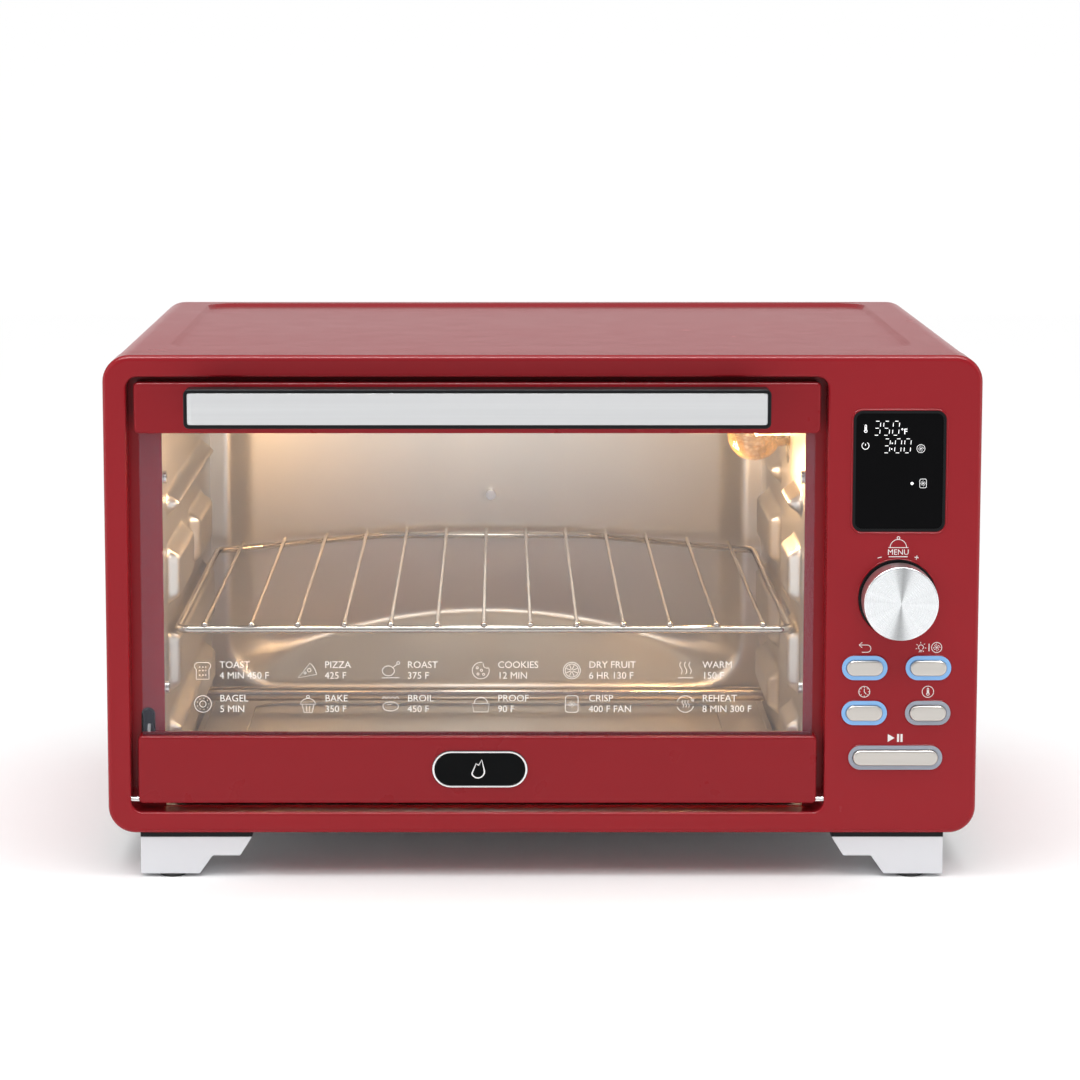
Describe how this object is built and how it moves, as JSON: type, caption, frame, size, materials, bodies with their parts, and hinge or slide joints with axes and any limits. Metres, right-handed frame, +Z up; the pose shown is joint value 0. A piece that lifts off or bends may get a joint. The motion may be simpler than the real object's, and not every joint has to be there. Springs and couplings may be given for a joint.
{
  "type": "toaster oven",
  "caption": "Countertop convection toaster oven with a drop-down glass door, wire rack, crumb tray, rotary dial and push buttons.",
  "frame": {"origin": "on the table under the middle of the oven's overall box", "axes": "+X to the user's right along the front, +Y from the door to the back, +Z up"},
  "size_m": [0.455, 0.391, 0.2763],
  "materials": {
    "red_paint": "satin, baked enamel",
    "red_rail": "satin",
    "zinc_sheet": "zinc coated, matt",
    "cavity_sheet": "satin, slightly warm",
    "grey_ring": "smooth",
    "black_plastic": "fine texture",
    "hidden_plastic": "plain",
    "silver_feet": "bright",
    "rubber": "matt",
    "brushed_trim": "brushed along its length",
    "spun_aluminium": "spun",
    "bright_steel": "bright",
    "rack_chrome": "bright plated",
    "heater_sheath": "dull, heat tinted",
    "ceramic": "glazed ceramic",
    "lamp_glass": "clear",
    "filament": "glowing",
    "door_pane": "clear, toughened",
    "display_glass": "gloss",
    "button_face": "brushed along its length",
    "blue_ring": "lit from behind",
    "badge_finish": "black face, plain",
    "circuit_board": "lacquered"
  },
  "bodies": {
    "cabinet": {"front_panel": "red_paint", "outer_shell": "red_paint", "bottom_plate": "zinc_sheet", "rear_cover": "zinc_sheet", "fan_housing": "zinc_sheet", "left_liner": "cavity_sheet", "right_liner": "cavity_sheet", "top_liner": "cavity_sheet", "floor_liner": "cavity_sheet", "back_liner": "cavity_sheet", "unlit_button_rings": "grey_ring", "foot_spacers": "black_plastic", "display_bezel": "black_plastic", "knob_bezel": "black_plastic", "slot_grommet": "black_plastic", "cord_gland": "black_plastic", "encoder": "black_plastic", "tact_switches": "black_plastic", "hinge_bushings": "hidden_plastic", "display_module": "hidden_plastic", "feet": "silver_feet", "foot_pads": "rubber", "door_spring": "bright_steel", "casing_screws": "bright_steel", "fan_motor": "bright_steel", "temperature_probe": "bright_steel", "lamp_bezel": "bright_steel", "lower_heaters": "heater_sheath", "upper_heaters": "heater_sheath", "heater_insulators": "ceramic", "lamp_socket": "ceramic", "lamp_bulb": "lamp_glass", "lamp_filament": "filament", "display_window": "display_glass", "lit_button_rings": "blue_ring", "control_board": "circuit_board", "power_board": "circuit_board"},
    "door": {"door_top_rail": "red_rail", "door_bottom_rail": "red_rail", "door_glass": "door_pane", "glass_seals": "rubber", "handle_bar": "black_plastic", "handle_trim": "brushed_trim", "handle_screws": "bright_steel", "hinge_pins": "bright_steel", "door_arm": "bright_steel", "badge": "badge_finish"},
    "knob": {"knob_body": "black_plastic", "knob_cap": "spun_aluminium", "encoder_shaft": "bright_steel"},
    "fan": {"fan_wheel": "bright_steel", "fan_shaft": "bright_steel"},
    "rack": {"wire_rack": "rack_chrome"},
    "tray": {"crumb_tray": "cavity_sheet"},
    "back_key": {"back_button": "button_face"},
    "light_key": {"light_button": "button_face"},
    "time_key": {"time_button": "button_face"},
    "temperature_key": {"temperature_button": "button_face"},
    "start_key": {"start_button": "button_face"}
  },
  "joints": [
    {"name": "door_hinge", "type": "hinge", "parent": "cabinet", "child": "door", "pos_m": [-0.0338, -0.1595, 0.0418], "axis": [1, 0, 0], "range_deg": [0, 90], "stiffness_Nm_per_rad": 0.3, "springref_deg": -20.05, "deforming": ["door_spring"]},
    {"name": "knob_turn", "type": "hinge", "parent": "cabinet", "child": "knob", "pos_m": [0.1848, -0.1725, 0.1493], "axis": [0, -1, 0], "continuous": true},
    {"name": "fan_spin", "type": "hinge", "parent": "cabinet", "child": "fan", "pos_m": [0.15, -0.043, 0.118], "axis": [1, 0, 0], "continuous": true},
    {"name": "crumb_tray_slide", "type": "slide", "parent": "cabinet", "child": "tray", "axis": [0, -1, 0], "range_m": [0, 0.19]},
    {"name": "rack_slide", "type": "slide", "parent": "cabinet", "child": "rack", "axis": [0, -1, 0], "range_m": [0, 0.12]},
    {"name": "back_press", "type": "slide", "parent": "cabinet", "child": "back_key", "axis": [0, 1, 0], "range_m": [0, 0.001], "stiffness_N_per_m": 400, "springref_m": -0.001},
    {"name": "light_press", "type": "slide", "parent": "cabinet", "child": "light_key", "axis": [0, 1, 0], "range_m": [0, 0.001], "stiffness_N_per_m": 400, "springref_m": -0.001},
    {"name": "time_press", "type": "slide", "parent": "cabinet", "child": "time_key", "axis": [0, 1, 0], "range_m": [0, 0.001], "stiffness_N_per_m": 400, "springref_m": -0.001},
    {"name": "temperature_press", "type": "slide", "parent": "cabinet", "child": "temperature_key", "axis": [0, 1, 0], "range_m": [0, 0.001], "stiffness_N_per_m": 400, "springref_m": -0.001},
    {"name": "start_press", "type": "slide", "parent": "cabinet", "child": "start_key", "axis": [0, 1, 0], "range_m": [0, 0.001], "stiffness_N_per_m": 400, "springref_m": -0.001}
  ],
  "couplings": [
    {"joint": "rack_slide", "follows": "door_hinge", "m_per_rad": 0.075}
  ]
}
